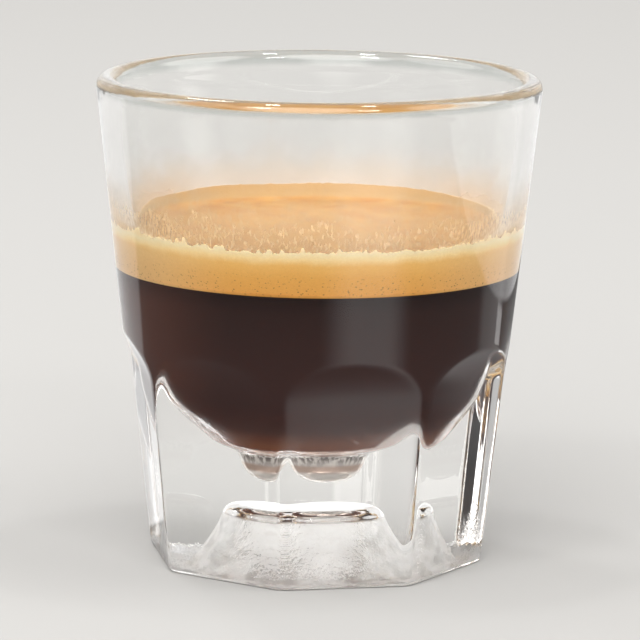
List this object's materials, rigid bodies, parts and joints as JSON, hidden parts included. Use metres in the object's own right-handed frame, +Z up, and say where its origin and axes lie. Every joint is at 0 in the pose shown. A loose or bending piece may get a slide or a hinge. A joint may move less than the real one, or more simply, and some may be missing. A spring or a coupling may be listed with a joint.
{
  "type": "espresso in a glass",
  "caption": "Thick-walled tumbler with a flat-sided foot, holding dark coffee under a layer of golden foam.",
  "frame": {"origin": "centre of the foot, on the surface that the glass stands on", "axes": "+Z up along the glass's axis; the pictured side faces -Y, with +X to its right"},
  "size_m": [0.073, 0.073, 0.08],
  "materials": {
    "clear_glass": "clear pressed glass, polished, with a stippled foot",
    "dark_coffee": "dark brown liquid, reddish where thin",
    "golden_foam": "fine golden foam, paler at its edge"
  },
  "bodies": {
    "root": {"glass": "clear_glass", "coffee": "dark_coffee", "crema": "golden_foam"}
  },
  "joints": []
}
